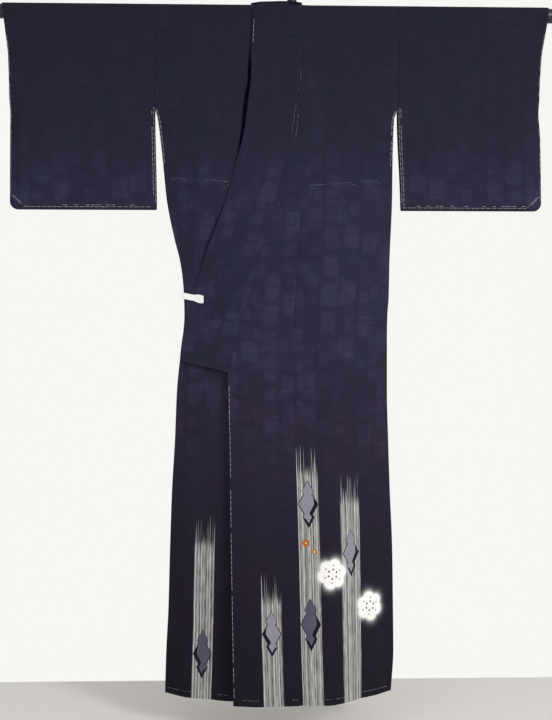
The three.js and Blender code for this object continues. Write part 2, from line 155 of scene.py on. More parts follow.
def noise(where, scale, detail=2.0):
    """Soft noise on a map, which three scales stretch along its axes."""
    if isinstance(scale, tuple):
        where = node("Mapping", {"Vector": where, "Scale": scale}).outputs[0]
        scale = 1.0
    values = {"Vector": where, "Scale": scale, "Detail": detail}
    return node("TexNoise", values).outputs["Fac"]


def mottled(name, rough, scale, detail, dark, light):
    """A plain finish whose colour drifts a little between two near tones."""
    made, place, shader = new_material(name, Roughness=rough)
    tone = mixed(noise(place["Object"], scale, detail), srgb(*dark), srgb(*light))
    join(tone, shader["Base Color"])
    return made


floor.data.materials.append(mottled("pale_floor", 0.9, 1.3, 2.0, (232, 229, 223), (240, 238, 233)))

# Soft studio light: an even pale surround, a broad lamp high on the right in front, and a weak
# one on the left.
world = bpy.data.worlds.new("surround")
world.use_nodes = True
tree = world.node_tree
tree.nodes.clear()
seen = node("Background", {"Color": srgb(246, 246, 242), "Strength": 1.0}, tree)
shed = node("Background", {"Color": (1.0, 0.99, 0.98, 1), "Strength": 0.6}, tree)
by_camera = node("LightPath", tree=tree).outputs["Is Camera Ray"]
both = node("MixShader", {0: by_camera, 1: shed.outputs[0], 2: seen.outputs[0]})
join(both.outputs[0], node("OutputWorld", tree=tree).inputs["Surface"])
bpy.context.scene.world = world
bpy.context.scene.view_settings.view_transform = "Standard"
for name, place, size, watts in (
    ("key_light", (2.9, -3.5, 0.5), 1.2, 104),
    ("fill_light", (-1.9, -2.3, -0.9), 2.0, 6),
):
    lamp = start_from(bpy.ops.object.light_add, name, type="AREA", location=place)
    lamp.data.shape = "SQUARE"
    lamp.data.size = size
    lamp.data.energy = watts
    aim = Vector((-0.04, 0, -0.9)) - lamp.location
    lamp.rotation_euler = aim.to_track_quat("-Z", "Y").to_euler()

# The hanger's bar: a round bar of black lacquered wood or tube, turned, with eased ends. It runs
# through the sleeves and out at the cuffs.
BAR_RADIUS = 0.017
BAR_LENGTH = 1.39
HOOK_AT = np.array([36.5, 0.0, 140.0])


def give_relief(shader, height, strength, distance):
    """Lets a height raise the surface a little."""
    values = {"Height": height, "Strength": strength, "Distance": distance}
    join(node("Bump", values).outputs[0], shader["Normal"])


def wear_lacquer(name, color, rough, metal):
    """Dark lacquer with faint streaks along the piece and a slightly uneven gloss."""
    made, place, shader = new_material(name, Metallic=metal)
    streaks = noise(place["Object"], (4, 160, 160), 3.0)
    lighter = tuple(min(c * 1.9 + 0.004, 1) for c in color[:3]) + (1.0,)
    join(mixed(streaks, color, lighter), shader["Base Color"])
    join(ease(streaks, 0.2, 0.8, rough - 0.06, rough + 0.1), shader["Roughness"])
    give_relief(shader, noise(place["Object"], 900.0), 0.12, 0.0002)
    return made


def finish_with(piece, kind, **settings):
    """Gives the active piece one modifier with its settings, and applies it."""
    bpy.ops.object.modifier_add(type=kind)
    modifier = piece.modifiers[-1]
    for name, value in settings.items():
        setattr(modifier, name, value)
    bpy.ops.object.modifier_apply(modifier=modifier.name)


def round_edges(piece, width, segments):
    """Eases the sharp edges of the active piece and smooths the rest."""
    finish_with(piece, "BEVEL", width=width, segments=segments)
    bpy.ops.object.shade_smooth_by_angle(angle=math.radians(40))


bar = start_from(
    bpy.ops.mesh.primitive_cylinder_add, "bar_turned", vertices=64, radius=BAR_RADIUS, depth=BAR_LENGTH
)
edit_all()
bpy.ops.transform.rotate(value=math.pi / 2, orient_axis="Y", center_override=(0, 0, 0))
bpy.ops.transform.translate(value=-HOOK_AT / 1000)
end_edit()
edit_faces(bar, lambda normal: abs(normal.x) > 0.9)
bpy.ops.mesh.inset(thickness=0.0001)
end_edit()
round_edges(bar, 0.0016, 4)
bar.data.materials.append(wear_lacquer("black_lacquer", srgb(20, 19, 22), 0.34, 0.0))
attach(bar, "root")
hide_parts("hanger_bar")

# The hanger's hook: a turned boss that saddles the bar in the neck opening, and a wire of dark
# steel, bent into a crook and fixed in the boss's top.
HOOK_WIRE = 0.004
HOOK_BEND = 0.026
BOSS_RADIUS = 0.0113
BOSS_FOOT = -0.126
# How far each step of the boss rises, and by how much its top narrows there.
BOSS_STEPS = ((0.022, 1), (0.004, 1), (0.007, 0.76), (0.007, 0.76), (0.002, 0.86))
hook = start_from(
    bpy.ops.mesh.primitive_cylinder_add, "hook_bent", vertices=40, radius=BOSS_RADIUS, depth=0.002
)
edit_all()
bpy.ops.transform.translate(value=(0, 0, BOSS_FOOT + 0.001))
end_edit()
edit_faces(hook, lambda normal: normal.z > 0.9)
for rise, share in BOSS_STEPS:
    bpy.ops.mesh.extrude_region_move(TRANSFORM_OT_translate={"value": (0, 0, rise)})
    bpy.ops.transform.resize(value=(share, share, 1))
end_edit()
bpy.ops.curve.primitive_nurbs_path_add()
wire = bpy.context.object
wire.data.splines.clear()
line = wire.data.splines.new("BEZIER")
bend = [(0, -0.092), (0, -0.072), (-0.009, -0.056), (-0.022, -0.040)]
for turn in (180, 145, 110, 75, 40, 5, -25):
    a = math.radians(turn)
    bend.append((HOOK_BEND * math.cos(a), HOOK_WIRE - HOOK_BEND + HOOK_BEND * math.sin(a)))
line.bezier_points.add(len(bend) - 1)
for point, (y, z) in zip(line.bezier_points, bend):
    point.co = (0, y, z)
    point.handle_left_type = point.handle_right_type = "AUTO"
wire.data.bevel_depth = HOOK_WIRE
wire.data.bevel_resolution = 5
wire.data.use_fill_caps = True
bpy.ops.object.convert(target="MESH")
hook.select_set(True)
bpy.context.view_layer.objects.active = hook
bpy.ops.object.join()
bpy.ops.object.shade_smooth_by_angle(angle=math.radians(35))
hook.data.materials.clear()
hook.data.materials.append(wear_lacquer("dark_steel", srgb(44, 42, 40), 0.38, 0.75))
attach(hook, "root")
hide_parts("hanger_hook")

# The two body panels: each a single length of dark purple-navy silk crepe, from the front hem over
# the bar to the back hem, sewn to its neighbours along the gore, the side and the middle of the back.
# All places below are in the garment's own millimetres: x from its middle, z from the bar's axis.
WALL = 1.4
SEAM = 0.3
OVER_BAR = 19.5
CLIP_LEVEL = -682.0
COLLAR_END = -859.0
OVER_COLLAR_END = -405.0
POINT_OF_GORE = -185.0
GORE_START = -192.0
HEM = -1628.0


def table(names, rows):
    """Columns of numbers by their names."""
    return {name: np.array(column, float) for name, column in zip(names.split(), zip(*rows))}


SIDES = table("z left right", [
    (20, -291, 291), (-228, -290.6, 290.6), (-255, -284, 281), (-370, -271, 279), (-448, -263, 278),
    (-544, -244, 274), (-591, -232, 272), (-639, -225, 271), (-682, -222, 270), (-722, -221, 267),
    (-775, -225, 266), (-831, -232, 266), (-903, -239, 266), (-1023, -244, 269), (-1143, -251, 273),
    (-1287, -256, 279), (-1431, -260, 281), (-1527, -265, 282), (-1628, -268, 276),
])
FRONT = table("z free edge gore", [
    (20, -57, 63, 63), (0, -57, 62.5, 62.5), (-92, -60, 64, 64), (-164, -62, 57, 57),
    (-185, -64, 54, 54), (-192, -65, 52.4, 54.4), (-224, -69, 46, 55), (-272, -75, 39, 56),
    (-322, -85, 32, 56.5), (-370, -98, 20, 56.5), (-448, -119, -2, 56), (-511, -142, -19, 53),
    (-566, -164, -35, 50), (-623, -183, -50, 47), (-663, -202, -61, 44), (-690, -214, -69, 42),
    (-760, -221, -89, 38), (-831, -229, -108, 37), (-859, -231, -116, 37), (-1040, -231, -113, 42),
    (-1271, -231, -110, 49), (-1500, -231, -106, 54), (-1628, -231, -103, 58),
])
DEPTHS = table("z edge front back lap", [
    (20, 21.6, 21.6, 21.6, 4), (0, 21.6, 21.6, 21.6, 4), (-100, 19, 23, 22, 5),
    (-230, 15, 26, 22, 6.5), (-300, 8, 28, 21, 7), (-370, 1.75, 31, 21, 7.5),
    (-450, 1.75, 35, 21, 8), (-690, 1.75, 45, 20, 9), (-860, 1.75, 52, 20, 12),
    (-1150, 1.75, 63, 24, 18), (-1400, 1.75, 71, 28, 26), (-1628, 1.75, 78, 32, 34),
])
NECKLINE = table("z x", [(0, 62), (-12, 55), (-20, 36), (-26, 0)])
# Each fold: x and z at its top, x and z at its foot, width, depth, and 1 where it runs to the hem.
FRONT_FOLDS = [
    (56, -330, 58, -1640, 13, -4, 1), (110, -470, 128, -1640, 24, 4, 1),
    (176, -300, 196, -1640, 22, -6, 1), (232, -420, 240, -1640, 17, 5, 1),
    (-60, -880, -48, -1640, 24, 4, 1), (-150, -860, -168, -1640, 26, -6, 1),
    (-212, -840, -222, -1640, 18, 5, 1), (-176, -668, -40, -1010, 15, 4, 0),
    (-178, -700, -120, -1130, 17, -4, 0), (-184, -660, -96, -330, 17, -4, 0),
    (-206, -650, -180, -300, 15, 4, 0), (-20, -150, -70, -560, 22, 3, 0),
]
FRONT_CREASES = [
    (-196, -676, -128, -560, 6, 1.6, 0), (-194, -684, -95, -740, 7, 1.5, 0),
    (-190, -688, -60, -860, 8, -1.5, 0), (-206, -694, -170, -900, 7, 1.4, 0),
    (-214, -668, -222, -520, 7, 1.5, 0), (-200, -660, -150, -440, 8, -1.5, 0),
    (112, -1120, 96, -1470, 10, -1.2, 0), (152, -620, 158, -1010, 11, 1.0, 0),
    (90, -120, 104, -380, 12, 1.1, 0), (200, -60, 178, -330, 13, -1.1, 0),
    (248, -90, 262, -420, 10, 1.0, 0), (8, -930, 14, -1300, 10, -1.0, 0),
    (-12, -600, -6, -820, 9, 0.9, 0), (24, -420, 36, -700, 8, -0.9, 0),
    (210, -1200, 214, -1640, 9, 1.4, 1), (70, -1330, 74, -1640, 9, 1.3, 1),
    (-190, -1180, -198, -1640, 9, 1.3, 1), (-120, -940, -140, -1300, 8, 1.0, 0),
    (-150, -60, -168, -330, 13, 1.2, 0), (-228, -110, -236, -430, 11, -1.0, 0),
    (-96, -90, -118, -300, 11, -1.0, 0), (-240, -430, -228, -600, 8, 1.0, 0),
]
BACK_FOLDS = [
    (-205, -260, -214, -1640, 22, 6, 1), (-128, -180, -140, -1640, 28, -7, 1),
    (-52, -320, -62, -1640, 22, 6, 1), (4, -120, 2, -1640, 20, -5, 1),
    (70, -240, 84, -1640, 26, 7, 1), (146, -160, 160, -1640, 24, -7, 1),
    (220, -380, 226, -1640, 20, 5, 1), (-186, -660, -70, -1020, 18, 5, 0),
]
BACK_CREASES = [
    (-170, -90, -182, -420, 12, 1.2, 0), (-84, -60, -98, -300, 12, -1.1, 0),
    (-24, -90, -30, -520, 10, 1.0, 0), (44, -70, 50, -410, 11, 1.0, 0),
    (118, -100, 124, -460, 12, -1.2, 0), (198, -80, 204, -380, 12, 1.1, 0),
    (-196, -690, -120, -820, 8, 1.5, 0), (-196, -676, -140, -520, 8, -1.4, 0),
    (30, -900, 40, -1640, 11, 1.2, 1), (-96, -1000, -104, -1640, 11, 1.3, 1),
    (186, -1060, 192, -1640, 11, 1.3, 1), (-236, -1120, -244, -1640, 9, 1.2, 1),
    (110, -620, 118, -1080, 12, 1.0, 0), (250, -700, 252, -1200, 9, -1.0, 0),
]


def along(rows, column, z):
    """Reads a column at a height, by a smooth curve that never overshoots its rows."""
    height, value = rows["z"][::-1], rows[column][::-1]
    slope = np.diff(value) / np.diff(height)
    rising = slope[:-1] * slope[1:] > 0
    total = np.where(rising, slope[:-1] + slope[1:], 1.0)
    inner = np.where(rising, 2 * slope[:-1] * slope[1:] / total, 0.0)
    tangent = np.concatenate([slope[:1], inner, slope[-1:]])
    z = np.clip(z, height[0], height[-1])
    k = np.clip(np.searchsorted(height, z, side="right") - 1, 0, len(height) - 2)
    span = height[k + 1] - height[k]
    t = (z - height[k]) / span
    return (
        (2 * t**3 - 3 * t**2 + 1) * value[k]
        + (t**3 - 2 * t**2 + t) * span * tangent[k]
        + (3 * t**2 - 2 * t**3) * value[k + 1]
        + (t**3 - t**2) * span * tangent[k + 1]
    )


def smooth(value, start, end):
    """A smooth step from 0 at start to 1 at end."""
    t = np.clip((value - start) / (end - start), 0, 1)
    return t * t * (3 - 2 * t)


def hump(value, middle, wide):
    """A rounded rise to 1 over a middle."""
    return np.exp(-(((value - middle) / wide) ** 2))


def folds_at(folds, x, z):
    """The height of all the folds of one list over a point of a panel."""
    total = 0.0
    for x_top, z_top, x_low, z_low, width, depth, hem in folds:
        s = (z_top - z) / (z_top - z_low)
        swell = np.sin(np.clip(s, 0, 1) * math.pi / (2 if hem else 1))
        ridge = depth * swell * hump(x, x_top + (x_low - x_top) * s, width)
        total = total + np.where((s > 0) & (s < 1), ridge, 0)
    return total


CLIP_PULL = 0.86
CLIP_PULL_HEIGHT = 85


def clip_pull(x, z):
    """How hard the clip at the side draws the layers together here."""
    return hump(z, CLIP_LEVEL, CLIP_PULL_HEIGHT) * (1 - smooth(x, -205, -85))


def crown(x, z, column, folds):
    """How far a layer stands off the side seam's plane, with its folds."""
    left, right = along(SIDES, "left", z), along(SIDES, "right", z)
    side = np.clip(abs(2 * x - left - right) / (right - left), 0, 1)
    edge = along(DEPTHS, "edge", z)
    full = (along(DEPTHS, column, z) - edge) * (1 - side**3)
    soft = folds_at(folds, x, z) * (1 - side**6) * smooth(-z, 0, 40)
    return edge + (full + soft) * (1 - CLIP_PULL * clip_pull(x, z))


LAP_START = 6
LAP_REACH = 14
LAP_SPREAD = 0.09
LAP_REACH_MOST = 150


def under_edge(z):
    """How far the front that lies underneath lifts the other: past its collar, then its edge."""
    collar = along(FRONT, "free", np.maximum(z, COLLAR_END))
    below = smooth(-z, -COLLAR_END, -COLLAR_END + 190)
    return -collar + (collar - along(FRONT, "edge", z)) * below


def lap_at(x, z):
    """The lap that lifts the left front over the one underneath, and its edge that curls up."""
    start = under_edge(z) + LAP_START
    reach = np.minimum(LAP_REACH - LAP_SPREAD * z, LAP_REACH_MOST)
    end = np.minimum(start + reach, along(SIDES, "right", z) - 4)
    over = 1 - smooth(x, start, np.maximum(end, start + 8))
    close = 1 - 0.7 * hump(z, -425, 75) - 0.5 * hump(z, -640, 60)
    edge = hump(x, along(FRONT, "free", z), 30) * (z > COLLAR_END - 60)
    lap = along(DEPTHS, "lap", z) * over * (1 - 0.5 * clip_pull(x, z))
    curl = 3 * hump(z, -215, 85) + 3 * hump(z, -520, 55)
    return lap * (1 - edge * (1 - close)) + curl * edge


def under_at(x, z):
    return -crown(x, z, "front", FRONT_FOLDS + FRONT_CREASES)


def over_at(x, z):
    return under_at(x, z) - lap_at(x, z)


def under_sunk_at(x, z):
    """The front that lies underneath, which sinks in beside the edge of the one over it."""
    wide = 3.4 + 2.2 * hump(z, -225, 45)
    beside = along(FRONT, "free", z) - 0.6 * wide
    depth = 17 * smooth(-z, 60, 150) * (1 - smooth(-z, 285, 365)) + 4 * hump(z, -550, 60)
    return under_at(x, z) + depth * hump(x, beside, wide)


def back_at(x, z):
    return crown(x, z, "back", BACK_FOLDS + BACK_CREASES)


def levels(*marks, step=6.2):
    """Heights from the first mark to the last, evenly spaced between each two."""
    made = [np.array(marks[:1], float)]
    for a, b in zip(marks, marks[1:]):
        made.append(np.linspace(a, b, max(2, round(abs(b - a) / step) + 1))[1:])
    return np.concatenate(made)


# How far from a seam the columns beside it stand, how much the cloth turns in there and over what
# width, and how deep and wide a pressed seam is.
BESIDE_SEAM = np.array([0.0, 0.9, 2.0, 3.6, 6.0])
ROLL, ROLL_WIDE = 0.3, 2.2
PRESSED, PRESSED_WIDE = 1.1, 3.4


def shares(width, columns):
    """Where the columns of a row stand, closer together at the seams on both its edges."""
    width = np.asarray(width, float)[:, None]
    close = BESIDE_SEAM * np.minimum(1, width / (3 * BESIDE_SEAM[-1])) / width
    middle = np.linspace(0, 1, columns)[None, 1:-1]
    inner = close[:, -1:] + (1 - 2 * close[:, -1:]) * middle
    return np.concatenate([close, inner, 1 - close[:, ::-1]], axis=1)


def rolled(share, width, first=0.0):
    """How far the cloth turns in at a seam, across a row, and how much further at the first one."""
    away = np.minimum(share, 1 - share) * width[:, None]
    return ROLL * hump(away, 0, ROLL_WIDE) + first * hump(share * width[:, None], 0, PRESSED_WIDE)


def gore_press(z):
    """How deep the gore's seam is pressed in, down a front, as a column."""
    return PRESSED * smooth(-z, 300, 430)[:, None]


def hung_rows(inner, outer, heights, columns, depth_at, outward=-1, first=0.0, slant=0.0):
    """Rows of a hanging layer, from a seam to its other edge, where they may rise by a slant."""
    width = abs(outer - inner)
    share = shares(width, columns)
    x = inner[:, None] + (outer - inner)[:, None] * share
    z = heights[:, None] + slant * share
    y = depth_at(x, z) - outward * rolled(share, width, first)
    return np.stack([x, y, z], axis=2)


def hang_cloth(name, points):
    """Hangs a flat grid of cloth at its places, its face to the front, with a map in metres.

    The map's first number runs across from the first column, its second is the height above the
    first row."""
    steps = np.linalg.norm(np.diff(points, axis=1), axis=2)
    u = np.concatenate([np.zeros((len(points), 1)), np.cumsum(steps, axis=1)], axis=1)
    rises = np.linalg.norm(np.diff(points, axis=0), axis=2).mean(axis=1)
    v = np.concatenate([[0], np.cumsum(rises)])
    cloth_map = np.stack([u, np.repeat(v[:, None], points.shape[1], axis=1)], axis=2) / 1000
    facing = np.cross(points[1, 1] - points[1, 0], points[2, 0] - points[1, 0])
    if facing[1] > 0:
        points, cloth_map = points[:, ::-1], cloth_map[:, ::-1]
    rows, columns = points.shape[:2]
    squares = {"x_subdivisions": columns - 1, "y_subdivisions": rows - 1}
    cloth = start_from(bpy.ops.mesh.primitive_grid_add, name, **squares, size=1)
    mesh = cloth.data
    placed = (points.reshape(-1, 3) - HOOK_AT) / 1000
    mesh.vertices.foreach_set("co", placed.ravel())
    corners = np.empty(len(mesh.loops), np.int32)
    mesh.loops.foreach_get("vertex_index", corners)
    flat = cloth_map.reshape(-1, 2)[corners]
    mesh.uv_layers[0].data.foreach_set("uv", flat.astype(np.float32).ravel())
    mesh.update()
    return cloth


def give_wall(cloth, outside):
    """Thickens the active cloth inwards, with the plain reverse of the silk on its inner side."""
    cloth.data.materials.append(outside)
    cloth.data.materials.append(reverse)
    inwards = {"thickness": WALL / 1000, "offset": -1, "use_even_offset": False}
    finish_with(cloth, "SOLIDIFY", **inwards, material_offset=1, material_offset_rim=0)
    bpy.ops.object.shade_smooth_by_angle(angle=math.radians(55))


def new_group(name, inputs, outputs):
    """A node group that more than one silk uses, of a map and numbers; no number means a place."""
    group = bpy.data.node_groups.new(name, "ShaderNodeTree")
    for socket, value in {"Map": None, **inputs}.items():
        kind = "NodeSocketVector" if value is None else "NodeSocketFloat"
        made = group.interface.new_socket(socket, in_out="INPUT", socket_type=kind)
        if value is not None:
            made.default_value = value
    for socket in outputs:
        group.interface.new_socket(socket, in_out="OUTPUT", socket_type="NodeSocketFloat")
    return group, group.nodes.new("NodeGroupInput").outputs, group.nodes.new("NodeGroupOutput").inputs


def vector(operation, a, b=(0, 0, 0), output=0):
    """One step of arithmetic on places or colours."""
    return node("VectorMath", {0: a, 1: b}, operation=operation).outputs[output]


def scaled(color, by):
    """A colour made brighter or darker."""
    values = {0: color, "Scale": by}
    return node("VectorMath", values, operation="SCALE").outputs[0]


def parts_of(place):
    """The numbers of a place across, up and along."""
    return node("SeparateXYZ", {0: place}).outputs


def wavering(place, scale, detail, most):
    """The numbers of a map that noise pulls out of line."""
    values = {"Vector": place, "Scale": scale, "Detail": detail}
    pull = node("TexNoise", values).outputs["Color"]
    return parts_of(vector("ADD", place, vector("MULTIPLY", pull, most)))


# Crepe weave: warp and weft a millimetre apart that the twisted yarn pulls out of line.
WARP_STEP, WEFT_STEP = 0.0009, 0.0011
crepe, given, out = new_group("crepe_weave", {}, ("Height", "Thread"))
axes = wavering(given["Map"], 420.0, 2.0, (0.0011, 0.0011, 0))
warp = calc("SINE", times(axes[0], 2 * math.pi / WARP_STEP))
weft = calc("SINE", times(axes[1], 2 * math.pi / WEFT_STEP))
crossed = times(warp, weft)
join(calc("MULTIPLY_ADD", crossed, 0.5, 0.5), out["Height"])
slub = noise(given["Map"], (700, 40, 1), 3.0)
cross_slub = noise(given["Map"], (22, 230, 1), 3.0)
join(calc("SUBTRACT", calc("ADD", slub, cross_slub), 1.0), out["Thread"])

# Woven check: soft upright patches in two sizes, where a bluer or a redder weft comes to the top.
# Each size: how wide and high its patches are, and its share of the check.
PATCHES = ((0.047, 0.066, 0.6), (0.031, 0.039, 0.4))
check, given, out = new_group("woven_check", {}, ("Light", "Blue"))
axes = wavering(given["Map"], 38.0, 4.0, (0.015, 0.022, 0))
light, blue = 0.0, 0.0
for across, down, share in PATCHES:
    column = calc("DIVIDE", axes[0], across)
    column_at = calc("FLOOR", column)
    jog = node("TexWhiteNoise", {"W": column_at}, noise_dimensions="1D")
    row = calc("ADD", calc("DIVIDE", axes[1], down), jog.outputs["Value"])
    cell = node("CombineXYZ", {0: column_at, 1: calc("FLOOR", row)})
    values = {"Vector": cell.outputs[0]}
    chance = node("TexWhiteNoise", values, noise_dimensions="2D").outputs
    rims = [ease(calc("PINGPONG", at, 0.5), 0.01, 0.24) for at in (column, row)]
    patch = times(rims[0], rims[1])
    raised = times(ease(chance["Value"], 0.2, 0.9), patch)
    light = calc("MULTIPLY_ADD", raised, share, light)
    hue = node("SeparateColor", {0: chance["Color"]}).outputs[1]
    swing = times(calc("SUBTRACT", hue, 0.5), patch)
    blue = calc("MULTIPLY_ADD", swing, share * 1.1, blue)
hatched = ease(noise(given["Map"], (30, 210, 1)), 0.3, 0.7, 0.55, 1.2)
join(times(light, hatched), out["Light"])
leaning = ease(noise(given["Map"], (17, 6, 1)), 0.3, 0.7, 0.15, 0.85)
join(calc("ADD", leaning, blue), out["Blue"])

# Brushed stripe band: many fine pale lines side by side, whose tops fade out as ragged spikes.
BAND_BLUR = (-0.0004, 0.0007)
LONG_SPIKE, SHORT_SPIKE = 0.058, 0.026
band, given, out = new_group(
    "brushed_band", {"From": 0.0, "To": 0.05, "Top": 0.4, "Seed": 0.0}, ("Mask", "Tone")
)
axes = parts_of(given["Map"])
off = calc("SUBTRACT", noise(given["Map"], 24.0, 5.0), 0.5)
across = calc("MULTIPLY_ADD", off, 0.0016, axes[0])
seeded = calc("ADD", across, given["Seed"])
past_from = ease(calc("SUBTRACT", across, given["From"]), *BAND_BLUR)
short_of = ease(calc("SUBTRACT", given["To"], across), *BAND_BLUR)


def lines(scale, detail):
    """Lines that run up the band, from noise that changes across it only."""
    values = {"W": times(seeded, scale), "Scale": 1.0, "Detail": detail}
    return node("TexNoise", values, noise_dimensions="1D").outputs["Fac"]


long_ones = calc("POWER", ease(lines(420.0, 1.0), 0.42, 0.74), 1.6)
short_ones = times(lines(900.0, 1.0), SHORT_SPIKE)
ragged = calc("MULTIPLY_ADD", long_ones, LONG_SPIKE, short_ones)
tip = calc("ADD", calc("SUBTRACT", given["Top"], 0.010), ragged)
below = ease(calc("SUBTRACT", tip, axes[1]), -0.003, 0.022)
join(times(times(past_from, short_of), below), out["Mask"])
worn = ease(noise(given["Map"], (300, 26, 1), 4.0), 0.3, 0.7, 0.0, 0.28)
broad, fine = ease(lines(210.0, 0.0), 0.42, 0.58), ease(lines(620.0, 1.0), 0.40, 0.62)
bright = ease(lines(330.0, 0.0), 0.58, 0.68, 0.0, 0.42)
tone = calc("MULTIPLY_ADD", fine, 0.12, calc("ADD", worn, bright))
join(calc("MULTIPLY_ADD", broad, 0.20, tone), out["Tone"])


def centred(given):
    """The numbers of a map, counted from a motif's centre."""
    return parts_of(vector("SUBTRACT", given["Map"], given["Centre"]))


def lobed_round(given, turns, swell, turned=0.0):
    """A round with lobes: the place from its centre, how far out that is, and how far past its edge."""
    axes = centred(given)
    place = node("CombineXYZ", {0: axes[0], 1: axes[1]}).outputs[0]
    far = vector("LENGTH", place, output="Value")
    angle = calc("ADD", calc("ARCTAN2", axes[1], axes[0]), turned)
    lobes = calc("ABSOLUTE", calc("SINE", times(angle, turns)))
    edge = calc("MULTIPLY_ADD", lobes, swell, 1 - swell)
    edge = times(given["Radius"], edge)
    return place, far, calc("SUBTRACT", far, edge)


# Snow ring: a white six-lobed round with a soft halo, and small dots inside.
HALO_REACH = -0.0042
# How far out each circle of dots lies, as a share of the radius, and how large its dots are.
RING_DOTS = ((0.30, 0.0020), (0.56, 0.0013))
ring, given, out = new_group(
    "snow_ring", {"Centre": None, "Radius": 0.03, "Turn": 0.0}, ("Mask", "Ink")
)
place, far, beyond = lobed_round(given, 3.0, 0.16, given["Turn"])
halo = calc("EXPONENT", calc("DIVIDE", beyond, HALO_REACH))
body = ease(beyond, -0.0030, 0.0012, 1.0, 0.0)
join(calc("MAXIMUM", body, times(halo, 0.6)), out["Mask"])
ink = 0.0
for k in range(6):
    a = k * math.pi / 3 + 0.4
    for share, size in RING_DOTS:
        spot = (share * math.cos(a), share * math.sin(a), 0)
        spot_at = vector("MULTIPLY", given["Radius"], spot)
        gap = vector("DISTANCE", place, spot_at, "Value")
        ink = calc("MAXIMUM", ink, ease(gap, size, size + 0.0008, 1.0, 0.0))
join(ink, out["Ink"])

# Pine-bark lozenge: a diamond with a smaller one over and under it, and a dark rim on one side.
SMALL_SHARE = 0.60
SMALL_OFF = 0.72
lozenge, given, out = new_group(
    "pine_bark_lozenge", {"Centre": None, "Wide": 0.02, "High": 0.03}, ("Mask", "Rim", "Speck")
)
specks = noise(given["Map"], 420.0)
join(ease(specks, 0.35, 0.65, 0.78, 1.12), out["Speck"])
axes = centred(given)
right_way = calc("DIVIDE", axes[0], given["Wide"])
up_way = calc("DIVIDE", axes[1], given["High"])
sideways, upright = calc("ABSOLUTE", right_way), calc("ABSOLUTE", up_way)
off_centre = calc("ABSOLUTE", calc("SUBTRACT", upright, SMALL_OFF))
small = calc("DIVIDE", calc("ADD", sideways, off_centre), SMALL_SHARE)
reach = calc("MINIMUM", calc("ADD", sideways, upright), small)
join(ease(reach, 0.96, 1.04, 1.0, 0.0), out["Mask"])
heavier = ease(calc("SUBTRACT", right_way, up_way), 0.1, 0.7, 0.90, 0.55)
join(calc("GREATER_THAN", reach, heavier), out["Rim"])

# Plum blossom: five round petals and a pale eye.
plum, given, out = new_group("plum_blossom", {"Centre": None, "Radius": 0.009}, ("Mask", "Eye"))
place, far, beyond = lobed_round(given, 2.5, 0.34)
join(ease(beyond, -0.0006, 0.0006, 1.0, 0.0), out["Mask"])
join(ease(far, 0.0020, 0.0030, 1.0, 0.0), out["Eye"])

# The ground's colour by height, from the hem at 0 to the shoulders at 1.
GROUND = (
    (0.0, (28, 25, 35)), (0.22, (36, 32, 47)), (0.38, (42, 38, 57)), (0.55, (43, 42, 62)),
    (0.70, (42, 40, 61)), (0.80, (37, 36, 54)), (0.91, (35, 33, 49)), (1.0, (34, 31, 46)),
)
# Each kind of pattern: the names of its values, then the mask between its two tones, and the tones.
# A lozenge's own tone comes with it.
KINDS = {
    band: (("From", "To", "Top", "Seed"), "Tone", (58, 56, 62), (222, 223, 217)),
    lozenge: (("Centre", "Wide", "High"), "Rim", None, (27, 24, 34)),
    plum: (("Centre", "Radius"), "Eye", (176, 104, 48), (226, 196, 140)),
    ring: (("Centre", "Radius", "Turn"), "Ink", (250, 249, 246), (104, 96, 84)),
}
REVERSE_TONES = ((44, 41, 56), (58, 54, 72))
PURPLE, LILAC = (92, 87, 106), (146, 144, 157)


def drawn_by(group, place, **values):
    """What a node group draws on a map, with its own values."""
    return node("Group", {"Map": place, **values}, node_tree=group).outputs


def woven(name, rough):
    """A silk with its weave in relief, for a colour to be laid on."""
    made, place, shader = new_material(name, Roughness=rough, **{"Specular IOR Level": 0.1})
    weave = drawn_by(crepe, place["UV"])
    give_relief(shader, weave["Height"], 0.35, 0.0003)
    return made, place, shader, weave["Thread"]


def dye_silk(name, start, before=(), behind=()):
    """The silk of one piece: its ground by height, its woven check, and its patterns on each side.

    The start is where the piece was cut from the checked length."""
    made, place, shader, thread = woven(name, 0.8)
    axes = parts_of(place["Object"])
    values = {"Value": axes[2], "From Min": -1.768, "From Max": -0.10}
    height = node("MapRange", values).outputs["Result"]
    ramp = node("ValToRGB", {"Fac": height})
    stops = ramp.color_ramp.elements
    for k, (at, tone) in enumerate(GROUND):
        stop = stops[k] if k < 2 else stops.new(at)
        stop.position = at
        stop.color = srgb(*tone)
    checks = drawn_by(check, vector("ADD", place["UV"], (*start, 0)))
    lower, upper = ease(axes[2], -1.36, -0.98), ease(axes[2], -0.62, -0.40, 1.0, 0.20)
    strength = times(lower, upper)
    lift = times(times(checks["Light"], strength), 0.66)
    bright = calc("ADD", calc("MULTIPLY_ADD", thread, 0.55, 0.94), lift)
    toned = mixed(checks["Blue"], (1.10, 0.94, 1.00, 1), (0.88, 1.05, 1.03, 1))
    tinted = mixed(1.0, ramp.outputs["Color"], toned, "MULTIPLY")
    color = scaled(tinted, bright)
    front = calc("LESS_THAN", axes[1], 0.0)
    back = calc("SUBTRACT", 1.0, front)
    patterns = [(front, *drawing) for drawing in before] + [(back, *drawing) for drawing in behind]
    for side, group, *numbers in patterns:
        names, share, low, high = KINDS[group]
        drawn = drawn_by(group, place["UV"], **dict(zip(names, numbers)))
        fill = mixed(drawn[share], srgb(*(low or numbers[-1])), srgb(*high))
        if group == lozenge:
            fill = scaled(fill, drawn["Speck"])
        color = mixed(times(drawn["Mask"], side), color, fill)
    join(color, shader["Base Color"])
    return made


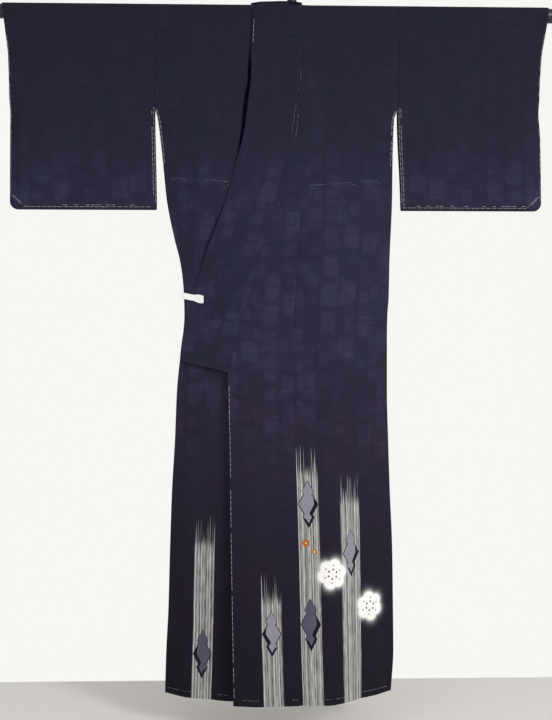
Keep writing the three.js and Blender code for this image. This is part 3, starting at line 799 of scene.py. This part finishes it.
# The silk's reverse: the same weave, plainer and a little lighter.
reverse, place, shader, thread = woven("silk_reverse", 0.85)
tone = mixed(ease(thread, -0.5, 0.5), srgb(*REVERSE_TONES[0]), srgb(*REVERSE_TONES[1]))
join(tone, shader["Base Color"])


def body_edge(z):
    """The inner edge of a body panel's front: the collar's seam, and the gore's below its point."""
    upper = z >= POINT_OF_GORE
    return np.where(upper, along(FRONT, "edge", z), along(FRONT, "gore", z)) + SEAM / 2


def over_bar(x, turn, front_at):
    """Points of the cloth where it passes over the bar, at a turn of 0 in front to pi behind."""
    top = np.zeros_like(x)
    depth = front_at(x, top) if math.cos(turn) > 0 else back_at(x, top)
    level = np.full_like(x, OVER_BAR * math.sin(turn))
    return np.stack([x, depth * abs(math.cos(turn)), level], axis=1)


def body_points(hand, front_at):
    """All the points of one body panel, row by row from the front hem to the back hem."""
    side = "right" if hand > 0 else "left"
    columns = 30 if hand > 0 else 58
    heights = levels(HEM, COLLAR_END, CLIP_LEVEL, OVER_COLLAR_END, GORE_START, POINT_OF_GORE, 0)
    inner, outer = hand * body_edge(heights), along(SIDES, side, heights)
    rows = list(hung_rows(inner, outer, heights, columns, front_at, -1, gore_press(heights)))
    for turn in np.linspace(0, math.pi, 17)[1:-1]:
        level = np.array([OVER_BAR * math.sin(turn)])
        inner, outer = hand * body_edge(level), along(SIDES, side, level)
        share = shares(abs(outer - inner), columns)
        rows.append(over_bar((inner + (outer - inner) * share)[0], turn, front_at))
    heights = np.concatenate([levels(0, -12, -20, -26, step=2.4), levels(-26, -60, HEM)[1:]])
    inner, outer = hand * (along(NECKLINE, "x", heights) + SEAM / 2), along(SIDES, side, heights)
    rows += list(hung_rows(inner, outer, heights, columns, back_at, 1, 0.7))
    return np.array(rows)


def fold_map(cloth):
    """Lets the map's height start again at the back hem, so that it is the height above each hem."""
    layer = cloth.data.uv_layers[0].data
    flat = np.empty(len(layer) * 2, np.float32)
    layer.foreach_get("uv", flat)
    length = flat[1::2].max()
    flat[1::2] = np.minimum(flat[1::2], length - flat[1::2])
    layer.foreach_set("uv", flat)


# The basting thread's white cotton.
cotton = mottled("white_cotton", 0.8, 1400.0, 2.0, (205, 203, 200), (238, 236, 232))
draw = np.random.default_rng(5)


def thread_of(name, stitches):
    """White basting thread: short straight stitches that lie on the cloth, from a list of ends."""
    add = bpy.ops.mesh.primitive_cylinder_add
    stitch = start_from(add, "stitch", vertices=6, radius=1, depth=1)
    edit_faces(stitch, lambda normal: abs(normal.z) > 0.9)
    bpy.ops.mesh.inset(thickness=0.45, depth=0.0)
    end_edit()
    shape = np.array([v.co for v in stitch.data.vertices])
    inner = np.hypot(shape[:, 0], shape[:, 1]) < 0.9
    shape[:, 2] *= np.where(inner, 1.0, 0.86)
    faces = [list(p.vertices) for p in stitch.data.polygons]
    every_point, every_face = [], []
    for start, end, facing, radius in stitches:
        run = end - start
        lengthwise = run / np.linalg.norm(run)
        sideways = np.cross(lengthwise, (0.0, facing, 0.0))
        sideways /= np.linalg.norm(sideways)
        lift = np.cross(sideways, lengthwise)
        place = (start + end) / 2 + (1 - 4 * shape[:, 2:] ** 2) * 0.25 * lift
        round_it = shape[:, :1] * sideways * radius + shape[:, 1:2] * lift * radius
        every_face += [[i + len(every_point) * len(shape) for i in f] for f in faces]
        every_point.append(place + shape[:, 2:] * run + round_it)
    bpy.data.objects.remove(stitch)
    mesh = bpy.data.meshes.new(name)
    placed = (np.concatenate(every_point) - HOOK_AT) / 1000
    mesh.from_pydata(placed.tolist(), [], every_face)
    thread = bpy.data.objects.new(name, mesh)
    bpy.context.collection.objects.link(thread)
    mesh.materials.append(cotton)
    mesh.shade_smooth()
    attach(thread, "root")
    return thread


def baste(path, facing=-1, stitch=12.0, gap=0.7, skip=0.05, radius=0.28):
    """Running stitches along a path of points on the cloth, a little uneven, some of them missing."""
    path = np.asarray(path, float)
    run = np.concatenate([[0], np.cumsum(np.linalg.norm(np.diff(path, axis=0), axis=1))])
    at, made = draw.uniform(0, gap), []
    while at + stitch < run[-1]:
        long = stitch * draw.uniform(0.75, 1.2)
        if draw.random() > skip:
            ends = [
                np.array([np.interp(s, run, path[:, k]) for k in range(3)])
                for s in (at, min(at + long, run[-1]))
            ]
            made.append((ends[0], ends[1], facing, radius))
        at += long + gap * draw.uniform(0.8, 1.3)
    return made


def on_layer(x, z, depth_at, off=0.2):
    """A path on a layer's outer face, from its x and z."""
    x, z = np.broadcast_arrays(np.asarray(x, float), np.asarray(z, float))
    y = depth_at(x, z)
    return np.stack([x, y + np.sign(y) * off, z], axis=1)


def baste_hem(start, end, count, depth_at, facing=-1):
    """The line of stitches a little above the hem."""
    path = on_layer(np.linspace(start, end, count), HEM + 14, depth_at)
    return baste(path, facing, 12, 0.8, 0.15, 0.12)


left_silk = dye_silk(
    "silk_left_body", (0.03, 0.0),
    before=[
        (band, 0.0, 0.0495, 0.538, 1.0), (band, 0.102, 0.157, 0.470, 2.0),
        (lozenge, (0.025, 0.462, 0), 0.024, 0.042, LILAC),
        (lozenge, (0.024, 0.185, 0), 0.024, 0.046, PURPLE),
        (lozenge, (0.130, 0.345, 0), 0.024, 0.042, LILAC),
        (plum, (0.017, 0.372, 0), 0.010), (plum, (0.036, 0.352, 0), 0.007),
        (ring, (0.078, 0.300, 0), 0.036, 0.3), (ring, (0.182, 0.215, 0), 0.035, 0.9),
    ],
    behind=[(band, 0.060, 0.110, 0.36, 3.0), (band, 0.176, 0.224, 0.26, 4.0)],
)
right_silk = dye_silk(
    "silk_right_body", (1.17, 0.61),
    before=[(band, 0.101, 0.150, 0.368, 5.0), (lozenge, (0.126, 0.105, 0), 0.023, 0.044, PURPLE)],
    behind=[(band, 0.040, 0.090, 0.30, 6.0), (band, 0.150, 0.198, 0.20, 7.0)],
)
# The lines of the tuck at the waist: all of it or its inner end, how far down, how many stitches
# are missing, and how thick the thread looks there.
TUCK_LINES = (
    (False, 0, 0.05, 0.055), (False, 5, 0.6, 0.04), (True, 0, 0.1, 0.09), (True, 8.5, 0.2, 0.05),
    (True, 17, 0.3, 0.04),
)
for name, hand, front_at, silk in (
    ("left", 1, over_at, left_silk),
    ("right", -1, under_sunk_at, right_silk),
):
    body = hang_cloth(f"body_{name}_hung", body_points(hand, front_at))
    fold_map(body)
    give_wall(body, silk)
    down = np.linspace(-234, -372, 24)
    stitches = []
    for away in (0.9, 4.6):
        seam_line = along(SIDES, "right" if hand > 0 else "left", down) - hand * away
        stitches += baste(on_layer(seam_line, down, front_at))
    if hand > 0:
        tuck = np.linspace(77, 262, 50)
        tuck_level = -418 + (tuck - 77) * 0.10
        inner_end = slice(0, 12)
    else:
        tuck = np.linspace(-254, -111, 50)
        tuck_level = -397 - (tuck + 248) * 0.08
        inner_end = slice(-16, None)
    for at_end, lower, skip, radius in TUCK_LINES:
        part = inner_end if at_end else slice(None)
        path = on_layer(tuck[part], tuck_level[part] - lower, front_at, 0.1)
        stitches += baste(path, -1, 14, 0.6, skip, radius)
    stitches += baste_hem(hand * (60 if hand > 0 else 112), hand * 268, 40, front_at)
    stitches += baste_hem(hand * 4, hand * 268, 40, back_at, 1)
    thread = thread_of(f"thread_body_{name}", stitches)
    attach(body, "root")
    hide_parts(f"body_{name}")

# The two gores, each a long narrow length with a pointed top, sewn between the body panel and the
# front edge. The left one lies outside and carries a band; its front edge is basted in white.
left_gore_silk = dye_silk(
    "silk_left_gore", (2.31, 1.37),
    before=[
        (band, 0.0445, 0.0915, 0.246, 8.0), (lozenge, (0.068, 0.165, 0), 0.023, 0.040, LILAC),
    ],
)
right_gore_silk = dye_silk("silk_right_gore", (3.57, 0.93))
for name, hand, front_at, silk in (
    ("left", 1, over_at, left_gore_silk),
    ("right", -1, under_at, right_gore_silk),
):
    heights = levels(HEM, COLLAR_END, CLIP_LEVEL, OVER_COLLAR_END, GORE_START)
    seam = hand * (along(FRONT, "gore", heights) - SEAM / 2)
    edge = hand * (along(FRONT, "edge", heights) + SEAM / 2)
    rows = hung_rows(seam, edge, heights, 18, front_at, -1, gore_press(heights))
    gore = hang_cloth(f"gore_{name}_hung", rows)
    give_wall(gore, silk)
    down = np.linspace(-892, HEM + 12, 120)
    edge_line = hand * (along(FRONT, "edge", down) + 2.4)
    stitches = baste(on_layer(edge_line, down, front_at))
    stitches += baste_hem(hand * -96, hand * 52, 30, front_at)
    thread = thread_of(f"thread_gore_{name}", stitches)
    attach(gore, "root")
    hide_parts(f"gore_{name}")

# The collar: a lower length on each front, and over it the over-collar, one double strip that
# crosses in front and stands up round the back of the neck.
COLLAR_SLANT = 28
COLLAR_COLUMNS = 16
NECK = np.array([
    # x, y, z of the left front's free edge, then of the half underneath
    (-57, -25.6, 0, -43, -21.6, 0), (-40, -29, 15, -20, -18.6, 10), (-10, -29, 19, 2, -17.8, 16),
    (22, -25.5, 20.5, 26, -15, 20.5), (46, -17, 22.5, 48, -8, 22.5), (60, -1, 26.5, 60, 2, 26),
    (60, 18, 31, 60, 18, 31), (50, 25.5, 35, 50, 25.5, 35), (34, 29, 38, 34, 29, 38),
    (0, 31, 39.5, 0, 31, 39.5),
], float)


def collar_rows(hand, heights, front_at):
    """Rows across the collar, from its seam to its free edge; the end of the collar slants."""
    narrower = 14 * smooth(heights, -120, 0) if hand < 0 else 0
    free = hand * (along(FRONT, "free", heights) + narrower)
    seam = hand * (along(FRONT, "edge", heights) - SEAM / 2)
    slant = COLLAR_SLANT * smooth(-heights, -CLIP_LEVEL, -COLLAR_END)[:, None]
    return hung_rows(seam, free, heights, COLLAR_COLUMNS, front_at, slant=slant)


def neck_half(hand, front_at):
    """Rows of the over-collar over the bar and round to the middle of the neck."""
    rows = []
    controls = NECK[:, :3] if hand > 0 else NECK[:, 3:] * (-1, 1, 1)
    count = len(controls) - 1
    for t in np.arange(1, count * 5 + 1) / 5:
        k = min(int(t), count - 1)
        s = t - k
        p = [controls[min(max(k + i, 0), count)] for i in (-1, 0, 1, 2)]
        free = 0.5 * (
            2 * p[1] + (p[2] - p[0]) * s + (2 * p[0] - 5 * p[1] + 4 * p[2] - p[3]) * s**2
            + (3 * p[1] - p[0] - 3 * p[2] + p[3]) * s**3
        )
        if t <= 6:
            turn = t * math.pi / 6
            level = np.array([OVER_BAR * math.sin(turn)])
            seam = over_bar(hand * (body_edge(level) - SEAM), turn, front_at)[0]
        else:
            heights = np.interp(t, (6, 7, 8, 9), NECKLINE["z"])
            x = hand * max(along(NECKLINE, "x", heights) - 0.2, 0)
            seam = np.array([x, back_at(x, heights), heights + SEAM])
        width = np.array([np.linalg.norm(free - seam)])
        share = shares(width, COLLAR_COLUMNS)[0][:, None]
        rows.append(seam + (free - seam) * share)
    return np.array(rows)


collar_silk = dye_silk("silk_collar", (4.13, 0.29))
heights = levels(OVER_COLLAR_END + SEAM / 2, POINT_OF_GORE, 0)
left_rows = np.concatenate([collar_rows(1, heights, over_at), neck_half(1, over_at)])
right_rows = np.concatenate([collar_rows(-1, heights, under_at), neck_half(-1, under_at)])
strip = np.concatenate([left_rows, right_rows[::-1][1:]])
over_collar = hang_cloth("over_collar_sewn", strip)
give_wall(over_collar, collar_silk)
down = np.linspace(-6, -88, 20)
stitches = baste(on_layer(along(FRONT, "free", down) + 2.5, down, over_at), radius=0.26)
for away, top, foot in ((0.8, -140, -310), (-9, -245, -305)):
    down = np.linspace(top, foot, 60)
    path = on_layer(along(FRONT, "edge", down) - away, down, over_at)
    stitches += baste(path, -1, 14, 0.6, 0.2, 0.08)
thread = thread_of("thread_collar", stitches)
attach(over_collar, "root")
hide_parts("over_collar")
for name, hand, front_at in (("left", 1, over_at), ("right", -1, under_at)):
    heights = levels(OVER_COLLAR_END - SEAM / 2, CLIP_LEVEL, COLLAR_END)
    collar = hang_cloth(f"collar_{name}_sewn", collar_rows(hand, heights, front_at))
    give_wall(collar, collar_silk)
    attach(collar, "root")
    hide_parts(f"collar_{name}")

# The two sleeves: front and back in one length over the bar, sewn to the body at the shoulder,
# folded shut along the bottom, and closed at the outer seam below the cuff.
SLEEVE_DROP = -472.0
CUFF_END = -235.0
SLEEVE_ROUNDING = 20.0
CUFF_TAPER = 34.0
SEAM_EDGE = 1.75
SLEEVE_FROM = 291 + SEAM
ARMHOLE_END = -230
POUCH_TOP = -240
POUCH_TOP_DEPTH = 15
POUCH_FOOT_DEPTH = 11
FOOT_HEIGHT = 17
CUFFS = table("z left right", [
    (20, 652, 654), (-14, 647, 650), (-62, 641, 642), (-110, 636, 635), (-206, 634, 631),
    (-300, 635, 637), (-472, 636, 640),
])
FOOT = table("z share", [(FOOT_HEIGHT, 1), (8, 0.78), (3, 0.45), (0, 0)])
SLEEVE_FOLDS = [
    (372, -20, 366, -500, 26, 3, 1), (470, -20, 478, -500, 24, -3.5, 1),
    (560, -20, 556, -500, 22, 3.5, 1),
]
SLEEVE_CREASES = {
    "left": [
        (330, -60, 352, -330, 12, 1.2, 0), (420, -150, 408, -500, 11, -1.2, 1),
        (512, -40, 528, -300, 12, 1.1, 0), (598, -190, 590, -500, 11, 1.1, 1),
        (318, -250, 324, -500, 9, 1.2, 1),
    ],
    "right": [
        (338, -110, 330, -500, 12, 1.2, 1), (432, -40, 446, -360, 12, 1.1, 0),
        (520, -200, 512, -500, 11, -1.1, 1), (604, -70, 612, -330, 10, 1.1, 0),
        (398, -330, 402, -500, 9, 1.0, 1),
    ],
}


def cuff_at(side, z):
    """Where a sleeve ends: at the cuff, with its lower corner rounded."""
    dip = np.clip(SLEEVE_DROP + SLEEVE_ROUNDING - z, 0, SLEEVE_ROUNDING)
    rounding = SLEEVE_ROUNDING - np.sqrt(SLEEVE_ROUNDING**2 - dip**2)
    return along(CUFFS, side, z) - rounding


def sleeve_seam(hand, z):
    """Where a sleeve begins: at the shoulder's seam, and below it at its own open edge."""
    return SLEEVE_FROM + (8 if hand > 0 else -4) * smooth(-z, -POUCH_TOP, -SLEEVE_DROP)


def sleeve_depth(side, x, z, creases):
    """How far a sleeve's two layers stand apart from the middle."""
    rise, z = z - SLEEVE_DROP, np.maximum(z, SLEEVE_DROP + FOOT_HEIGHT)
    cuff = cuff_at(side, z)
    upper = along(DEPTHS, "edge", np.maximum(z, ARMHOLE_END))
    down = (POUCH_TOP - z) / (POUCH_TOP - SLEEVE_DROP)
    lower = POUCH_TOP_DEPTH + (POUCH_FOOT_DEPTH - POUCH_TOP_DEPTH) * down
    wide = np.where(z > POUCH_TOP, upper, lower)
    closing = smooth(x, cuff - CUFF_TAPER, cuff) * smooth(-z, -CUFF_END - 30, -CUFF_END + 10)
    folds = folds_at(SLEEVE_FOLDS, x, z) + folds_at(creases, x, z)
    folds = folds * (1 - smooth(x, 600, 640)) * smooth(-z, 0, 90)
    folds = folds * smooth(z, SLEEVE_DROP, SLEEVE_DROP + 40)
    depth = (wide + folds) * (1 - closing) + SEAM_EDGE * closing
    return np.maximum(along(FOOT, "share", rise) * depth, np.minimum(SEAM_EDGE, rise))


sleeve_silk = dye_silk("silk_sleeve", (5.71, 1.13))
for name, hand in (("left", 1), ("right", -1)):
    side, other = ("right", "left") if hand > 0 else ("left", "right")
    creases_at = {-1: SLEEVE_CREASES[side], 1: SLEEVE_CREASES[other]}

    def sleeve_row(z, facing):
        """One row across the sleeve: in front where facing is -1, behind where it is 1."""
        inner = sleeve_seam(hand, z)
        width = np.array([cuff_at(side, z) - inner])
        share = shares(width, 54)
        x = (inner + width * share)[0]
        level = np.full_like(x, z)
        depth = sleeve_depth(side, x, level, creases_at[facing])
        depth = depth - rolled(share, width)[0] * (1 if depth.min() > 3 else 0)
        return np.stack([hand * x, facing * depth, level], axis=1)

    def on_sleeve(x, z, facing):
        """A path on the sleeve's outer face, from its x and z."""
        x, z = np.broadcast_arrays(np.asarray(x, float), np.asarray(z, float))
        depth = sleeve_depth(side, x, z, creases_at[facing])
        return np.stack([hand * x, facing * (depth + 0.2), z], axis=1)

    foot_levels = [SLEEVE_DROP + rise for rise in (0.0, 1.0, 2.2, 3.8, 6.0, 9.0, 12.5)]
    up = [*foot_levels, *levels(SLEEVE_DROP + FOOT_HEIGHT, CUFF_END, -28, 0)]
    rows = [sleeve_row(z, -1) for z in up]
    top_row = sleeve_row(0.0, -1)
    share = (abs(top_row[:, 0]) - SLEEVE_FROM) / (abs(top_row[-1, 0]) - SLEEVE_FROM)
    for turn in np.linspace(0, math.pi, 17)[1:-1]:
        level = OVER_BAR * math.sin(turn)
        x = SLEEVE_FROM + (cuff_at(side, level) - SLEEVE_FROM) * share
        y = top_row[:, 1] * math.cos(turn)
        rows.append(np.stack([hand * x, y, np.full_like(x, level)], axis=1))
    rows += [sleeve_row(z, 1) for z in up[:0:-1]]
    rows.append(rows[0])
    sleeve = hang_cloth(f"sleeve_{name}_hung", np.array(rows))
    fold_map(sleeve)
    edit_all()
    bpy.ops.mesh.remove_doubles(threshold=0.00002)
    end_edit()
    give_wall(sleeve, sleeve_silk)

    stitches = []
    for facing in (-1, 1):
        for above, skip in ((6.5, 0.03), (10.5, 0.65)):
            path = on_sleeve(np.linspace(300, 612, 60), SLEEVE_DROP + above, facing)
            stitches += baste(path, facing, skip=skip, radius=0.26)
        for away, skip in ((1.2, 0.04), (6, 0.25)):
            down = np.linspace(-228, SLEEVE_DROP + 7, 60)
            path = on_sleeve(sleeve_seam(hand, down) + away, down, facing)
            stitches += baste(path, facing, skip=skip, radius=0.26)
        down = np.linspace(-50, SLEEVE_DROP + 24, 70)
        path = on_sleeve(cuff_at(side, down) - 2.2, down, facing)
        stitches += baste(path, facing, skip=0.3, radius=0.2)
        for away in (0, 7):
            slant = np.linspace(0, 1, 8)
            corner_x = cuff_at(side, -430.0) - 3 - away - 27 * slant
            corner_z = SLEEVE_DROP + 36 - 0.4 * away - 26 * slant
            stitches += baste(on_sleeve(corner_x, corner_z, facing), facing, radius=0.26)
    thread = thread_of(f"thread_sleeve_{name}", stitches)
    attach(sleeve, "root")
    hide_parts(f"sleeve_{name}")

# The clip: a small band of white plastic, bent round the side of the layers, that holds the
# overlap closed.
CLIP_HEIGHT = 20.0
CLIP_WALL = 2.0
CLIP_GAP = 0.6
CLIP_TIP = -175.0
CLIP_SLOPE = 0.2
bend = along(SIDES, "left", CLIP_LEVEL) - CLIP_WALL
reach = np.concatenate([np.linspace(CLIP_TIP, -208, 9), [bend + 4]])


def clip_middle(x):
    """The height of the clip's middle line, which slopes a little."""
    return CLIP_LEVEL - CLIP_SLOPE * (x + 200)


def clear_of(depth_at, x):
    """The furthest that a layer reaches under the clip around one place."""
    around = [abs(depth_at(x + 12 * k, clip_middle(x) + 8.5 * k)) for k in (-1, 0, 1)]
    return max(around) + CLIP_WALL + CLIP_GAP


path = [(x, -clear_of(over_at, x)) for x in reach]
path.append((bend - CLIP_WALL, -clear_of(over_at, bend) + CLIP_WALL))
path.append((bend - CLIP_WALL, clear_of(back_at, bend) - CLIP_WALL))
path += [(x, clear_of(back_at, x)) for x in reach[::-1]]
strip = []
for x, y in path:
    half = CLIP_HEIGHT / 2 * (0.74 + 0.26 * smooth(x, -199, -187) - 0.2 * smooth(x, -181, -174))
    strip.append([(x, y, clip_middle(x) + share * half) for share in np.linspace(1, -1, 7)])
clip = hang_cloth("clip_bent", np.array(strip))
plastic = mottled("white_plastic", 0.42, 220.0, 3.0, (246, 246, 243), (254, 254, 252))
clip.data.materials.append(plastic)
finish_with(clip, "SOLIDIFY", thickness=CLIP_WALL / 1000, offset=-1)
round_edges(clip, 0.0006, 3)
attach(clip, "root")
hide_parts("wrap_clip")
